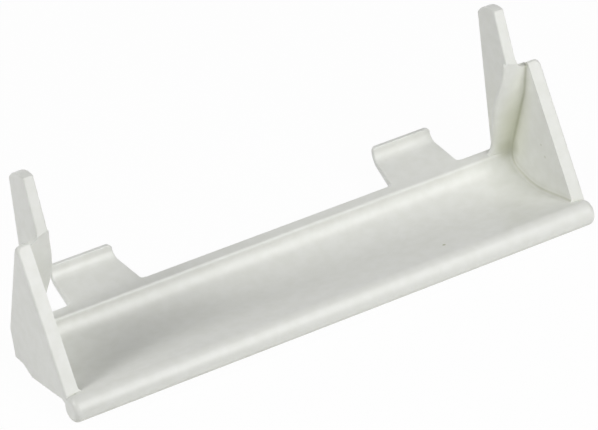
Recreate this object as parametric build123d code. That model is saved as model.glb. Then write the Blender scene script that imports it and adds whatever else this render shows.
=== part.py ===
from build123d import *
from math import cos, radians, sin, tan
import os

# Dishwasher door handle: one moulding in white plastic.
# X runs along the pull lip, Y from the lip back to the tabs, Z is up.
# Profiles are drawn in the YZ plane as (depth behind the lip's front, height above the table).

# Overall length, over the outer faces of the cheeks
LENGTH = 150.0

# Pull lip: a round bead along the front
LIP_RADIUS = 3.3
LIP_END_ROUND = 1.4

# Finger scoop: pitches of its two floors, then the depths of its floor corner and back wall
FRONT_PITCH = 17.0
REAR_PITCH = 10.0
FLOOR_DEPTH = 21.6
FLOOR_RADIUS = 22.0
WALL_DEPTH = 31.95
HEEL_RADIUS = 4.0
SHELL = 1.5
SHELL_LAP = 1.2

# Rim along the top of the scoop's back wall
RIM_TOP = 6.55
RIM_BACK = 35.55
RIM_THICK = 2.0
RIM_FRONT_ROUND = 0.7
RIM_BACK_ROUND = 0.5

# Web at each end: it carries the scoop's wall up between post and cheek
WEB_THICK = 1.5
KINK_AT_CHEEK = 8.4
KINK_INSIDE = 10.5
KINK_RADIUS = 10.0
WEB_LEAN = 12.6
KNEE_AT_CHEEK = 27.3
KNEE_INSIDE = 32.0
KNEE_RADIUS = 18.0
TOP_LEAN_AT_CHEEK = 1.4
TOP_LEAN_INSIDE = -3.0
WEB_SET_BACK = 1.0
WEB_MARGIN = 1.1
WEB_LAP = 0.5
WEB_TOP = 36.9
WEB_TOP_AT_CHEEK = 34.9
WEB_FOOT_FLARE = 1.0
WEB_FLARE_HEIGHT = 2.6
WEB_LOBE = 1.7
WEB_LOBE_HEIGHT = 23.0
WEB_SHOULDER = 0.5
WEB_SHOULDER_ROUND = 1.1
WEB_EDGE_ROUND = 0.7

# End cheeks
CHEEK_THICK = 3.73
CHEEK_DRAFT = 0.1
CHEEK_FRONT_SLOPE = 54.5
CHEEK_FRONT_DEPTH = 5.7
CHEEK_BACK_LEAN = 9.5
CHEEK_BEND_DEPTH = 32.25
CHEEK_BEND_HEIGHT = 9.2
CHEEK_HEEL_DEPTH = 30.1
CHEEK_HEEL_HEIGHT = 1.5
CHEEK_NOTCH_DEPTH = 26.0
CHEEK_NOTCH_HEIGHT = 1.9
CHEEK_BELLY_DEPTH = 21.9
CHEEK_BELLY_HEIGHT = 0.6
CHEEK_CHIN_DEPTH = 6.2
CHEEK_CHIN_HEIGHT = 4.1
CHEEK_TOP = 36.0
CHEEK_TOP_ROUND = 1.5
CHEEK_TIP_ROUND = 0.7
CHEEK_EDGE_ROUND = 0.6

# Posts
CHEEK_TO_POST = 2.18
POST_THICK = 3.55
POST_DRAFT = 0.65
POST_FOOT_DEPTH = 32.99
POST_BACK_LEAN = 12.1
POST_STEP = 0.35
POST_HEIGHT = 45.5
POST_TOP_WIDTH = 8.12
POST_TOP_PITCH = 27.1
POST_TOP_CROWN = 1.2
POST_EDGE_ROUND = 0.45

# Spring tabs on the rim
TAB_TO_POST = 8.84
TAB_WIDTH = 20.2
TAB_INNER_TAPER = 2.0
TAB_OUTER_TAPER = 1.1
TAB_BEND_DEPTH = 46.0
TAB_RISE = 0.9
TAB_BEND_RADIUS = 2.6
TAB_LIP_HEIGHT = 3.0
TAB_LIP_LEAN = 13.0
TAB_ROOT_THICK = 1.8
TAB_TIP_THICK = 1.2
TAB_CORNER_ROUND = 1.1
TAB_EDGE_ROUND = 0.35
TAB_ROOT_FLARE = 0.8

# Fillets in the inner corners
CORNER_FILLET = 1.1
CORNER_LAP = 0.3

# Limits for picking faces and corners: share of a normal along X, and distance
OUTWARD = 0.1
CLOSE = 0.01

# Derived places
HALF = LENGTH / 2
CHEEK_INNER = HALF - CHEEK_THICK
SEAT = RIM_TOP - RIM_THICK / 2
POST_OUTER = CHEEK_INNER - CHEEK_TO_POST
POST_INNER = POST_OUTER - POST_THICK
WEB_PEAK = WEB_TOP + WEB_THICK
TAB_OUTER = POST_INNER - TAB_TO_POST
TAB_INNER = TAB_OUTER - TAB_WIDTH


def direction(angle):
    """Unit vector in the profile plane: 0 degrees points back, 90 up."""
    return Vector(cos(radians(angle)), sin(radians(angle)))


def crossing(point, along, other, across):
    """Where two lines of the profile cross, each given by a point and a direction."""
    gap = other - point
    share = (gap.X * across.Y - gap.Y * across.X) / (along.X * across.Y - along.Y * across.X)
    return point + along * share


def at_height(point, along, height):
    """Point of a line at the given height."""
    return crossing(point, along, Vector(0, height), Vector(1, 0))


def rounded_path(corners, radii):
    """Straight runs through the corners, each inner corner rounded with its own radius."""
    edges = []
    start = corners[0]
    for before, corner, after, radius in zip(corners, corners[1:], corners[2:], radii):
        back = (before - corner).normalized()
        ahead = (after - corner).normalized()
        half = radians(back.get_angle(ahead)) / 2
        first = corner + back * (radius / tan(half))
        last = corner + ahead * (radius / tan(half))
        middle = corner + (back + ahead).normalized() * (radius / sin(half) - radius)
        edges.append(Line(start, first))
        edges.append(ThreePointArc(first, middle, last))
        start = last
    edges.append(Line(start, corners[-1]))
    return edges


def wall(corners, radii, thick):
    """Profile of a wall of even thickness whose near side runs through the corners."""
    runs = [(b - a).normalized() for a, b in zip(corners, corners[1:])]
    sides = [Vector(run.Y, -run.X) * thick for run in runs]
    far = [corners[0] + sides[0]]
    far_radii = []
    for number, radius in enumerate(radii, start=1):
        before, after = runs[number - 1], runs[number]
        far.append(crossing(corners[number] + sides[number - 1], before, corners[number] + sides[number], after))
        turn = before.X * after.Y - before.Y * after.X
        far_radii.append(radius + thick if turn > 0 else radius - thick)
    far.append(corners[-1] + sides[-1])
    edges = rounded_path(corners, radii) + rounded_path(far, far_radii)
    edges.append(Line(corners[0], far[0]))
    edges.append(Line(corners[-1], far[-1]))
    return make_face(Curve() + edges)


def plate(face, first, last):
    """Profile made solid between two stations along the length."""
    return extrude(Plane.YZ.offset(first) * face, last - first)


def front_view(face):
    """Solid that shows the given outline from the front, deep enough to trim any piece."""
    return extrude(Plane.XZ * face, 2 * RIM_BACK, both=True)


lip_centre = Vector(LIP_RADIUS, LIP_RADIUS)
kink = Vector(WALL_DEPTH, KINK_AT_CHEEK)
knee = at_height(kink, direction(90 + WEB_LEAN), KNEE_AT_CHEEK)
rear_run = direction(90 - POST_BACK_LEAN)
post_root = at_height(Vector(POST_FOOT_DEPTH, RIM_TOP), rear_run, KINK_AT_CHEEK)
post_back_top = at_height(post_root, rear_run, POST_HEIGHT)
post_chord = direction(180 - POST_TOP_PITCH)
post_front_top = post_back_top + post_chord * POST_TOP_WIDTH
post_front_foot = Vector(knee.X + POST_STEP, WEB_TOP)
post_rise = post_front_top.Y + POST_TOP_CROWN
cheek_foot = Vector(CHEEK_FRONT_DEPTH, RIM_TOP)
cheek_bend = Vector(CHEEK_BEND_DEPTH, CHEEK_BEND_HEIGHT)
cheek_tip = crossing(cheek_foot, direction(CHEEK_FRONT_SLOPE), cheek_bend, direction(90 + CHEEK_BACK_LEAN))
scoop_start = lip_centre + direction(90 - FRONT_PITCH) * LIP_RADIUS
scoop_floor = crossing(scoop_start, direction(-FRONT_PITCH), Vector(FLOOR_DEPTH, 0), Vector(0, 1))
scoop_heel = crossing(scoop_floor, direction(REAR_PITCH), kink, Vector(0, 1))


def post_side(height):
    """Place of the post's drafted outer face along the length, at a height."""
    return POST_OUTER - POST_DRAFT * height / post_rise


def pull_lip():
    bead = plate(Pos(lip_centre.X, lip_centre.Y) * Circle(LIP_RADIUS), -HALF, HALF)
    return fillet(bead.edges().filter_by(GeomType.CIRCLE), LIP_END_ROUND)


def scoop():
    """Thin shell under the fingers, with the rim along its top."""
    corners = [scoop_start, scoop_floor, scoop_heel, Vector(WALL_DEPTH, RIM_TOP)]
    shell = wall(corners, [FLOOR_RADIUS, HEEL_RADIUS], SHELL)
    rim_shape = Rectangle(RIM_BACK - WALL_DEPTH, RIM_THICK, align=(Align.MIN, Align.MAX))
    rim = plate(Pos(WALL_DEPTH, RIM_TOP) * rim_shape, -CHEEK_INNER, CHEEK_INNER)
    body = plate(shell, -CHEEK_INNER - SHELL_LAP, CHEEK_INNER + SHELL_LAP) + rim
    long_edges = body.faces().sort_by(Axis.Z)[-1].edges().filter_by(Axis.X).sort_by(Axis.Y)
    body = fillet(long_edges[0], RIM_FRONT_ROUND)
    back_edges = body.faces().sort_by(Axis.Y)[-1].edges().filter_by(Axis.X)
    return fillet(back_edges, RIM_BACK_ROUND)


def behind_slope(foot, tip):
    """Everything at the right end that lies behind the slope through two points of the profile."""
    low = crossing(foot, tip - foot, Vector(0, 0), Vector(1, 0))
    outline = Polyline(low, tip, (RIM_BACK, tip.Y), (RIM_BACK, low.Y), close=True)
    return plate(make_face(outline), TAB_OUTER, HALF)


def web_section(set_back, kink_height, knee_height, top_lean):
    """Profile of the web at one station, set back from the scoop's wall."""
    foot = Vector(WALL_DEPTH + set_back, SEAT)
    bottom = Vector(WALL_DEPTH + set_back, kink_height)
    knee = at_height(bottom, direction(90 + WEB_LEAN), knee_height)
    top = at_height(knee, direction(90 + top_lean), WEB_PEAK + WEB_LAP)
    return wall([foot, bottom, knee, top], [KINK_RADIUS, KNEE_RADIUS], WEB_THICK)


def web():
    """Upright wall between post and cheek, whose inner side stands further back."""
    near = web_section(0, KINK_AT_CHEEK, KNEE_AT_CHEEK, TOP_LEAN_AT_CHEEK)
    far = web_section(WEB_SET_BACK, KINK_INSIDE, KNEE_INSIDE, TOP_LEAN_INSIDE)
    flat_end = CHEEK_INNER - CORNER_FILLET
    outer_end = CHEEK_INNER + WEB_LAP
    inner_end = POST_INNER - WEB_LOBE - WEB_MARGIN
    body = loft([Plane.YZ.offset(flat_end) * near, Plane.YZ.offset(inner_end) * far], ruled=True)
    body = body + plate(near, flat_end, outer_end)
    flare_top = Vector(POST_INNER, RIM_TOP + WEB_FLARE_HEIGHT)
    flare_foot = Vector(POST_INNER - WEB_FOOT_FLARE, RIM_TOP)
    lobe = Vector(POST_INNER - WEB_LOBE, WEB_LOBE_HEIGHT)
    shoulder = Vector(POST_INNER - WEB_SHOULDER, WEB_TOP - WEB_SHOULDER_ROUND)
    shoulder_top = shoulder + Vector(WEB_SHOULDER_ROUND, WEB_SHOULDER_ROUND)
    post_foot = Vector(post_side(WEB_TOP), WEB_TOP)
    inside_post = post_foot.X - POST_EDGE_ROUND
    edges = [
        TangentArc(flare_top, flare_foot, tangent=(0, -1)),
        Spline(flare_top, lobe, shoulder, tangents=[(0, 1), (0, 1)]),
        TangentArc(shoulder, shoulder_top, tangent=(0, 1)),
        Polyline(
            shoulder_top,
            (shoulder_top.X, WEB_PEAK),
            (inside_post, WEB_PEAK),
            (inside_post, WEB_TOP),
            post_foot,
        ),
        TangentArc(post_foot, (flat_end, WEB_TOP_AT_CHEEK), tangent=(0, -1)),
        Polyline(
            (flat_end, WEB_TOP_AT_CHEEK),
            (outer_end, WEB_TOP_AT_CHEEK),
            (outer_end, SEAT),
            (flare_foot.X, SEAT),
            flare_foot,
        ),
    ]
    body = body & front_view(make_face(Curve() + edges))
    inner_side = [e for e in body.edges() if e.center().X < POST_INNER and e.center().Z > RIM_TOP]
    return_edges = [e for e in inner_side if abs((e @ 1 - e @ 0).Z) > CLOSE]
    return fillet(return_edges, WEB_EDGE_ROUND) & behind_slope(post_front_foot, post_front_top)


def cove():
    """Soft inner corner where the cheek meets the scoop and the web."""
    top = at_height(knee, direction(90 + TOP_LEAN_AT_CHEEK), WEB_TOP_AT_CHEEK)
    radii = [FLOOR_RADIUS, HEEL_RADIUS, KINK_RADIUS, KNEE_RADIUS]
    edges = rounded_path([scoop_start, scoop_floor, scoop_heel, kink, knee, top], radii)
    path = Plane.YZ.offset(CHEEK_INNER) * Wire(edges)
    section = Plane(path @ 0, x_dir=(-1, 0, 0), z_dir=path % 0)
    side = 1 if section.y_dir.Z > 0 else -1
    middle = CORNER_FILLET * (1 - cos(radians(45)))
    profile = [
        Polyline(
            (CORNER_FILLET, 0),
            (CORNER_FILLET, -side * CORNER_LAP),
            (-CORNER_LAP, -side * CORNER_LAP),
            (-CORNER_LAP, side * CORNER_FILLET),
            (0, side * CORNER_FILLET),
        ),
        ThreePointArc((0, side * CORNER_FILLET), (middle, side * middle), (CORNER_FILLET, 0)),
    ]
    return sweep(section * make_face(Curve() + profile), path=path) & behind_slope(cheek_foot, cheek_tip)


def cheek():
    """Triangular end plate with a slight draft on its outer face."""
    heel = Vector(CHEEK_HEEL_DEPTH, CHEEK_HEEL_HEIGHT)
    notch = Vector(CHEEK_NOTCH_DEPTH, CHEEK_NOTCH_HEIGHT)
    belly = Vector(CHEEK_BELLY_DEPTH, CHEEK_BELLY_HEIGHT)
    chin = Vector(CHEEK_CHIN_DEPTH, CHEEK_CHIN_HEIGHT)
    outline = Polyline(lip_centre, cheek_foot, cheek_tip, cheek_bend, heel, notch, belly, chin, close=True)
    face = fillet(make_face(outline).vertices().sort_by(Axis.Y)[-1], CHEEK_TIP_ROUND)
    front = Polyline(
        (CHEEK_INNER, 0),
        (HALF, 0),
        (HALF, RIM_TOP),
        (HALF - CHEEK_DRAFT, CHEEK_TOP),
        (CHEEK_INNER, CHEEK_TOP),
        close=True,
    )
    trim = make_face(front)
    trim = fillet(trim.vertices().group_by(Axis.Y)[-1].sort_by(Axis.X)[-1], CHEEK_TOP_ROUND)
    body = plate(face, CHEEK_INNER, HALF) & front_view(trim)
    outer = [e for f in body.faces() if f.normal_at().X > OUTWARD for e in f.edges()]
    outline_edges = [e for e in outer if sum(e.is_same(other) for other in outer) == 1]
    return fillet([e for e in outline_edges if e.center().Y > CHEEK_CHIN_DEPTH], CHEEK_EDGE_ROUND)


def post():
    """Leaning blade that grows out of the web's back, with a crowned top."""
    crest = (post_back_top + post_front_top) / 2 + Vector(post_chord.Y, -post_chord.X) * POST_TOP_CROWN
    edges = [
        Line(post_root, post_back_top),
        ThreePointArc(post_back_top, crest, post_front_top),
        Polyline(
            post_front_top,
            post_front_foot,
            (post_front_foot.X, KNEE_INSIDE),
            knee + Vector(WEB_THICK, 0),
            post_root,
        ),
    ]
    body = plate(make_face(Curve() + edges), POST_INNER, POST_OUTER)
    front = Polyline(
        (POST_INNER, 0),
        (post_side(0), 0),
        (post_side(post_rise), post_rise),
        (POST_INNER, post_rise),
        close=True,
    )
    body = body & front_view(make_face(front))
    back = max(body.faces(), key=lambda f: f.normal_at().Y)
    slope, crown = body.faces().sort_by(Axis.Z)[-2:]
    long_edges = [e for f in (back, crown, slope) for e in f.edges() if abs((e @ 1 - e @ 0).X) < POST_THICK / 2]
    return fillet(long_edges, POST_EDGE_ROUND)


def tab():
    """Flat spring tab with an upturned lip, narrower towards the lip."""
    root = Vector(RIM_BACK - RIM_BACK_ROUND, RIM_TOP)
    foot = Vector(TAB_BEND_DEPTH, RIM_TOP + TAB_RISE)
    run = direction(90 - TAB_LIP_LEAN)
    lip_top = at_height(foot, run, foot.Y + TAB_LIP_HEIGHT)
    lip_back = lip_top + direction(-TAB_LIP_LEAN) * TAB_TIP_THICK
    low_root = root - Vector(0, TAB_ROOT_THICK)
    low_foot = crossing(low_root, foot - Vector(0, TAB_TIP_THICK) - low_root, lip_back, run)
    edges = rounded_path([root, foot, lip_top], [TAB_BEND_RADIUS])
    edges += rounded_path([low_root, low_foot, lip_back], [TAB_BEND_RADIUS + TAB_TIP_THICK])
    edges.append(Line(lip_top, lip_back))
    edges.append(Line(root, low_root))
    reach = TAB_ROOT_FLARE + CORNER_LAP
    body = plate(make_face(Curve() + edges), TAB_INNER - reach, TAB_OUTER + reach)
    inner_root = Vector(TAB_INNER, RIM_BACK)
    outer_root = Vector(TAB_OUTER, RIM_BACK)
    plan = Polyline(
        (TAB_INNER - reach, root.X),
        (TAB_OUTER + reach, root.X),
        (TAB_OUTER + reach, RIM_BACK),
        outer_root,
        (TAB_OUTER - TAB_OUTER_TAPER, lip_back.X),
        (TAB_INNER + TAB_INNER_TAPER, lip_back.X),
        inner_root,
        (TAB_INNER - reach, RIM_BACK),
        close=True,
    )
    outline = make_face(plan)
    beside_rim = [v for v in outline.vertices() for root_corner in (inner_root, outer_root)
                  if (Vector(v) - root_corner).length < CLOSE]
    body = body & extrude(fillet(beside_rim, TAB_ROOT_FLARE), 2 * lip_top.Y)
    lip_corners = [e for e in body.faces().sort_by(Axis.Z)[-1].edges() if e.length < 2 * TAB_TIP_THICK]
    body = fillet(lip_corners, TAB_CORNER_ROUND)
    near_edge = body.faces().sort_by(Axis.Z)[-1].edges().sort_by(Axis.Y)[0]
    return fillet(near_edge, TAB_EDGE_ROUND)


end_plate = cheek()
shell = scoop()
cup = Part() + [shell, end_plate, mirror(end_plate, Plane.YZ)]
cup = cup + [cove(), mirror(cove(), Plane.YZ)]
right = Part() + [web(), post(), tab()]
handle = Part() + [cup, pull_lip(), right, mirror(right, Plane.YZ)]
depth = handle.bounding_box().max.Y - handle.bounding_box().min.Y
handle = Pos(0, -depth / 2, 0) * handle

os.makedirs("parts", exist_ok=True)
handle.label = "door_handle"
export_step(handle, "parts/door_handle.step")
print(handle.volume, handle.bounding_box(), len(handle.solids()))
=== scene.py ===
import math

import bpy
from mathutils import Matrix, Vector


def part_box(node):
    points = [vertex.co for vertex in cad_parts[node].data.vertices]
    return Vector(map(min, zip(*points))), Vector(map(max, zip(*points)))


MM = 0.001

# Plastic: its colours, the last of them also the colour of painted shade, and the gloss of the body and of the
# smooth skin that the mould leaves on it
CLEAN = "#eeefea"
YELLOWED = "#e8ead6"
SOILED_AND_SHADED = "#aaac8c"
ROUGHNESS = 0.4
IOR = 1.5
SPECULAR = 0.4
SKIN = 0.4
SKIN_ROUGHNESS = 0.2

# Moulding grain: a real one of about 0.1 mm is too fine to show here, so it is drawn at 1.2 mm
GRAIN_SIZE = 1.2 * MM
GRAIN_DETAIL = 3.0
GRAIN_RELIEF = 0.05 * MM
GRAIN_STRENGTH = 0.3

# Faint patches in the pigment
CLOUD_SIZE = 3 * MM
CLOUD_DETAIL = 2.0
CLOUD_START = 0.35
CLOUD_FULL = 0.65
CLOUD_SOIL = 0.07

# Painted shade in crevices: how far a crevice reaches, and how open a place is where the painted shade starts and
# where it is full
CREVICE = 4 * MM
CREVICE_SAMPLES = 16
CREVICE_START = 0.8
CREVICE_FULL = 0.3
CREVICE_SHADE = 0.5

# Painted shade in the small round at the foot of each cheek, by place along the handle and by the turn of the
# surface, which is 0 on the scoop and 1 on the cheek
CHEEK_INNER = 71.27 * MM
CORNER_FILLET = 1.1 * MM
ROUND_START = CHEEK_INNER - CORNER_FILLET
ROUND_FULL = CHEEK_INNER - 0.7 * CORNER_FILLET
ROUND_END = CHEEK_INNER + 0.01 * MM
TURN_START = 0.3
TURN_FULL = 0.75
CHEEK_TURN = 1.0
CHEEK_TURN_FULL = 0.78
ROUND_SHADE = 0.5

# Dirty marks, and one spot of painted shade: place and radius in mm, and how dark from 0 to 1. The last is
# painted shade in the corner at the foot of the right web
MARKS_AND_SHADE = (
    ((34.7, -15.05, 5.02), 0.55, 1.0),
    ((71.27, -4.2, 15.2), 0.4, 0.35),
    ((71.27, -6.1, 12.6), 0.5, 0.3),
    ((70.0, 8.5, 7.6), 4.0, 0.32),
)
SPOT_CORE = 0.4

# Yellowing of the right web: its middle and reach in mm, weaker on flat cheek faces and below the rim's top
YELLOWED_AT = (71.8, 9.0, 20.0)
YELLOWED_REACH = (7.5, 9.0, 24.0)
YELLOWED_CORE = 0.35
FLAT_TURN = 0.99
FLAT_TURN_END = 0.9
FLAT_SHARE = 0.6
RIM_LOW = 4.5 * MM
RIM_HIGH = 7.5 * MM
RIM_SHARE = 0.25

# Ground and backdrop: how much of the white that the camera sees is the paper's own glow, the rest being lit
WHITE = (1, 1, 1, 1)
PAPER = "#f4f4f4"
GROUND_SIZE = 3.0
GROUND_DROP = 0.02 * MM
GROUND_GLOW = 0.97
SKY_STRENGTH = 0.062

# Lamps: azimuth from the front towards +X and elevation in degrees, distance and size in metres, power in watts
LAMPS = (
    ("side_window", -100, 38, 1.0, 0.35, 3.95),
    ("front_window", 15, 25, 1.0, 0.55, 2.95),
    ("near_lamp", 30, 50, 0.4, 0.25, 0.56),
    ("back_window", 180, 10, 1.0, 0.55, 0.9),
)

# Camera, as fitted to the photograph: lens in pixels, angles in radians, place in mm
PHOTO_WIDTH = 598
SENSOR_WIDTH = 36
FOCAL_PIXELS = 3869.07
AZIMUTH = 0.5637218584632883
ELEVATION = 0.6277367032549191
CAMERA_LEFT = -408.131
CAMERA_FRONT = -624.376
CAMERA_HEIGHT = 574.304

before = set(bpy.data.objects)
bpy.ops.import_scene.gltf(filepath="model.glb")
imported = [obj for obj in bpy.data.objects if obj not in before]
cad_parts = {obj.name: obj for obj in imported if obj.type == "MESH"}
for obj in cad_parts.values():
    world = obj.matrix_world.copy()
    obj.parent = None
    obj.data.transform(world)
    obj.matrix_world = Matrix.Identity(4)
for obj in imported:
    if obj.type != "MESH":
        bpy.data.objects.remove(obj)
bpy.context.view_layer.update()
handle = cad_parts["door_handle"]
low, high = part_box("door_handle")
DEPTH = high.y - low.y


def linear(code):
    """A colour written as an sRGB hex code, in the linear values that Blender uses."""
    channels = [int(code[i:i + 2], 16) / 255 for i in (1, 3, 5)]
    return tuple(c / 12.92 if c <= 0.04045 else ((c + 0.055) / 1.055) ** 2.4 for c in channels) + (1.0,)


def add(tree, kind, settings=None, links=None):
    """Adds one node: settings go on its properties or sockets, links are {socket: another node's output}."""
    node = tree.nodes.new(kind)
    for key, value in (settings or {}).items():
        if isinstance(key, int) or key in node.inputs:
            node.inputs[key].default_value = value
        else:
            setattr(node, key, value)
    for key, output in (links or {}).items():
        tree.links.new(output, node.inputs[key])
    return node


def new_material(name):
    """An empty node material and its node tree."""
    material = bpy.data.materials.new(name)
    material.use_nodes = True
    material.node_tree.nodes.clear()
    return material, material.node_tree


def painted_corner_shade(tree, place, turn):
    """Painted shade in the inside corners: they are painted darker and more yellow than the open faces."""
    openness = add(tree, "ShaderNodeAmbientOcclusion", {"samples": CREVICE_SAMPLES, "Distance": CREVICE})
    crevices = add(
        tree,
        "ShaderNodeMapRange",
        {"From Min": CREVICE_START, "From Max": CREVICE_FULL, "To Max": CREVICE_SHADE},
        {"Value": openness.outputs["AO"]},
    )
    # The small round where a cheek meets the scoop and the web gets the most painted shade
    across = add(tree, "ShaderNodeSeparateXYZ", links={"Vector": place}).outputs["X"]
    across = add(tree, "ShaderNodeMath", {"operation": "ABSOLUTE"}, {0: across}).outputs["Value"]
    near_cheek = add(
        tree, "ShaderNodeMapRange", {"From Min": ROUND_START, "From Max": ROUND_FULL}, {"Value": across}
    )
    inside = add(tree, "ShaderNodeMath", {"operation": "LESS_THAN", 1: ROUND_END}, {0: across})
    off_scoop = add(tree, "ShaderNodeMapRange", {"From Min": TURN_START, "From Max": TURN_FULL}, {"Value": turn})
    off_cheek = add(
        tree,
        "ShaderNodeMapRange",
        {"From Min": CHEEK_TURN, "From Max": CHEEK_TURN_FULL, "To Max": ROUND_SHADE},
        {"Value": turn},
    )
    cove = near_cheek.outputs["Result"]
    for part in (inside.outputs["Value"], off_scoop.outputs["Result"], off_cheek.outputs["Result"]):
        cove = add(tree, "ShaderNodeMath", {"operation": "MULTIPLY"}, {0: cove, 1: part}).outputs["Value"]
    # Painted shade: the larger of the shade in crevices and the shade in the round
    shade_and_soil = add(tree, "ShaderNodeMath", {"operation": "MAXIMUM"}, {0: crevices.outputs["Result"], 1: cove})
    return shade_and_soil.outputs["Value"]


def with_marks_and_shade(tree, place, shade_and_soil):
    """The darkening with the nicks in the scoop and on the right cheek, and painted shade at the web's foot,
    added to it.
    """
    for spot, radius, darkness in MARKS_AND_SHADE:
        away = add(
            tree,
            "ShaderNodeVectorMath",
            {"operation": "DISTANCE", 1: [value * MM for value in spot]},
            {0: place},
        )
        spot_darkening = add(
            tree,
            "ShaderNodeMapRange",
            {"From Min": radius * MM, "From Max": SPOT_CORE * radius * MM, "To Max": darkness},
            {"Value": away.outputs["Value"]},
        )
        larger = add(tree, "ShaderNodeMath", {"operation": "MAXIMUM"}, {0: shade_and_soil, 1: spot_darkening.outputs["Result"]})
        shade_and_soil = larger.outputs["Value"]
    return shade_and_soil


def clouded(tree, place, shade_and_soil):
    """The soil and painted shade with the pigment's faint patches added to it."""
    noise = add(
        tree, "ShaderNodeTexNoise", {"Scale": 1 / CLOUD_SIZE, "Detail": CLOUD_DETAIL}, {"Vector": place}
    )
    patches = add(
        tree,
        "ShaderNodeMapRange",
        {"From Min": CLOUD_START, "From Max": CLOUD_FULL, "To Max": CLOUD_SOIL},
        {"Value": noise.outputs["Fac"]},
    )
    both = add(
        tree, "ShaderNodeMath", {"operation": "ADD", "use_clamp": True}, {0: shade_and_soil, 1: patches.outputs["Result"]}
    )
    return both.outputs["Value"]


def yellowing(tree, place, turn):
    """How yellowed the right web is, fading with the distance from its middle."""
    offset = add(
        tree,
        "ShaderNodeVectorMath",
        {"operation": "SUBTRACT", 1: [value * MM for value in YELLOWED_AT]},
        {0: place},
    )
    scaled = add(
        tree,
        "ShaderNodeVectorMath",
        {"operation": "MULTIPLY", 1: [1 / (value * MM) for value in YELLOWED_REACH]},
        {0: offset.outputs["Vector"]},
    )
    away = add(tree, "ShaderNodeVectorMath", {"operation": "LENGTH"}, {0: scaled.outputs["Vector"]})
    fading = add(
        tree, "ShaderNodeMapRange", {"From Min": 1.0, "From Max": YELLOWED_CORE}, {"Value": away.outputs["Value"]}
    )
    off_face = add(
        tree,
        "ShaderNodeMapRange",
        {"From Min": FLAT_TURN, "From Max": FLAT_TURN_END, "To Min": FLAT_SHARE},
        {"Value": turn},
    )
    upward = add(tree, "ShaderNodeSeparateXYZ", links={"Vector": place}).outputs["Z"]
    above_rim = add(
        tree,
        "ShaderNodeMapRange",
        {"From Min": RIM_LOW, "From Max": RIM_HIGH, "To Min": RIM_SHARE},
        {"Value": upward},
    )
    old = fading.outputs["Result"]
    for part in (off_face.outputs["Result"], above_rim.outputs["Result"]):
        old = add(tree, "ShaderNodeMath", {"operation": "MULTIPLY"}, {0: old, 1: part}).outputs["Value"]
    return old


def moulded_plastic():
    """Off-white injection-moulded ABS: semi-gloss, with a fine moulding grain.

    To the eye it is an even off-white with a soft, wide highlight, and a fainter, sharper one from its skin.
    Its corners and the web's foot are darkened with painted shade, use has left a few nicks, and one end has
    yellowed.
    """
    material, tree = new_material("moulded_abs_off_white")
    coordinates = add(tree, "ShaderNodeTexCoord")
    place = coordinates.outputs["Object"]
    turn = add(tree, "ShaderNodeSeparateXYZ", links={"Vector": coordinates.outputs["Normal"]}).outputs["X"]
    turn = add(tree, "ShaderNodeMath", {"operation": "ABSOLUTE"}, {0: turn}).outputs["Value"]
    grain = add(
        tree, "ShaderNodeTexNoise", {"Scale": 1 / GRAIN_SIZE, "Detail": GRAIN_DETAIL}, {"Vector": place}
    )
    bump = add(
        tree,
        "ShaderNodeBump",
        {"Strength": GRAIN_STRENGTH, "Distance": GRAIN_RELIEF},
        {"Height": grain.outputs["Fac"]},
    )
    # Painted shade in the corners and at the right web's foot, with the real nicks and the pigment's patches, all
    # mixed towards the soiled colour
    shade_and_soil = clouded(tree, place, with_marks_and_shade(tree, place, painted_corner_shade(tree, place, turn)))
    plastic = add(
        tree,
        "ShaderNodeMix",
        {"data_type": "RGBA", 6: linear(CLEAN), 7: linear(YELLOWED)},
        {"Factor": yellowing(tree, place, turn)},
    )
    colour = add(
        tree,
        "ShaderNodeMix",
        {"data_type": "RGBA", 7: linear(SOILED_AND_SHADED)},
        {"Factor": shade_and_soil, 6: plastic.outputs[2]},
    )
    shader = add(
        tree,
        "ShaderNodeBsdfPrincipled",
        {
            "Roughness": ROUGHNESS,
            "IOR": IOR,
            "Specular IOR Level": SPECULAR,
            "Coat Weight": SKIN,
            "Coat Roughness": SKIN_ROUGHNESS,
        },
        {"Base Color": colour.outputs[2], "Normal": bump.outputs["Normal"]},
    )
    add(tree, "ShaderNodeOutputMaterial", links={"Surface": shader.outputs["BSDF"]})
    return material


def seen_white(tree):
    """1 for the rays that see the backdrop, straight or in a glossy or clear surface, and 0 for the light."""
    path = add(tree, "ShaderNodeLightPath")
    seen = path.outputs["Is Camera Ray"]
    for ray in ("Is Glossy Ray", "Is Transmission Ray"):
        larger = add(tree, "ShaderNodeMath", {"operation": "MAXIMUM"}, {0: seen, 1: path.outputs[ray]})
        seen = larger.outputs["Value"]
    return seen


def white_ground():
    """Matt white paper under the handle: white to the camera, with the handle's faint shadow."""
    material, tree = new_material("white_ground")
    paper = add(tree, "ShaderNodeBsdfDiffuse", {"Color": linear(PAPER)})
    glow = add(tree, "ShaderNodeEmission", {"Color": WHITE, "Strength": 1.0})
    share = add(tree, "ShaderNodeMath", {"operation": "MULTIPLY", 1: GROUND_GLOW}, {0: seen_white(tree)})
    mix = add(
        tree,
        "ShaderNodeMixShader",
        links={"Fac": share.outputs["Value"], 1: paper.outputs["BSDF"], 2: glow.outputs["Emission"]},
    )
    add(tree, "ShaderNodeOutputMaterial", links={"Surface": mix.outputs["Shader"]})
    return material


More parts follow.
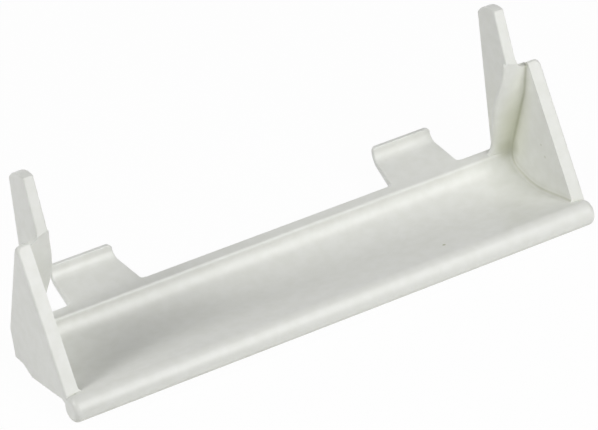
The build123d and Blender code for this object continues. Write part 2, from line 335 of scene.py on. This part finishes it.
def add_lamp(name, azimuth, elevation, distance, size, power):
    """Adds a soft square lamp that is aimed at the handle."""
    lamp = bpy.data.lights.new(name, "AREA")
    lamp.shape = "SQUARE"
    lamp.size = size
    lamp.energy = power
    holder = bpy.data.objects.new(name, lamp)
    bpy.context.scene.collection.objects.link(holder)
    a, e = math.radians(azimuth), math.radians(elevation)
    holder.location = Vector((math.sin(a) * math.cos(e), -math.cos(a) * math.cos(e), math.sin(e))) * distance
    holder.rotation_euler = (-holder.location).to_track_quat("-Z", "Y").to_euler()


# The handle's own surface
handle.data.materials.clear()
handle.data.materials.append(moulded_plastic())

# Ground
bpy.ops.mesh.primitive_plane_add(size=GROUND_SIZE, location=(0, 0, -GROUND_DROP))
ground = bpy.context.object
ground.name = "ground"
ground.data.materials.append(white_ground())

# Light
for settings in LAMPS:
    add_lamp(*settings)

world = bpy.data.worlds.new("studio")
bpy.context.scene.world = world
world.use_nodes = True
sky = world.node_tree
sky.nodes.clear()
strength = add(sky, "ShaderNodeMapRange", {"To Min": SKY_STRENGTH}, {"Value": seen_white(sky)})
backdrop = add(sky, "ShaderNodeBackground", {"Color": WHITE}, {"Strength": strength.outputs["Result"]})
add(sky, "ShaderNodeOutputWorld", links={"Surface": backdrop.outputs["Background"]})

# Camera
view = bpy.data.cameras.new("camera")
view.sensor_width = SENSOR_WIDTH
view.lens = FOCAL_PIXELS / PHOTO_WIDTH * SENSOR_WIDTH
camera = bpy.data.objects.new("camera", view)
bpy.context.scene.collection.objects.link(camera)
forward = Vector((
    math.sin(AZIMUTH) * math.cos(ELEVATION),
    math.cos(AZIMUTH) * math.cos(ELEVATION),
    -math.sin(ELEVATION),
))
right = Vector((math.cos(AZIMUTH), -math.sin(AZIMUTH), 0))
pose = Matrix((right, right.cross(forward), -forward)).transposed().to_4x4()
pose.translation = Vector((CAMERA_LEFT, CAMERA_FRONT, CAMERA_HEIGHT)) * MM - Vector((0, DEPTH / 2, 0))
camera.matrix_world = pose
bpy.context.scene.camera = camera

bpy.context.scene.view_settings.view_transform = "Standard"
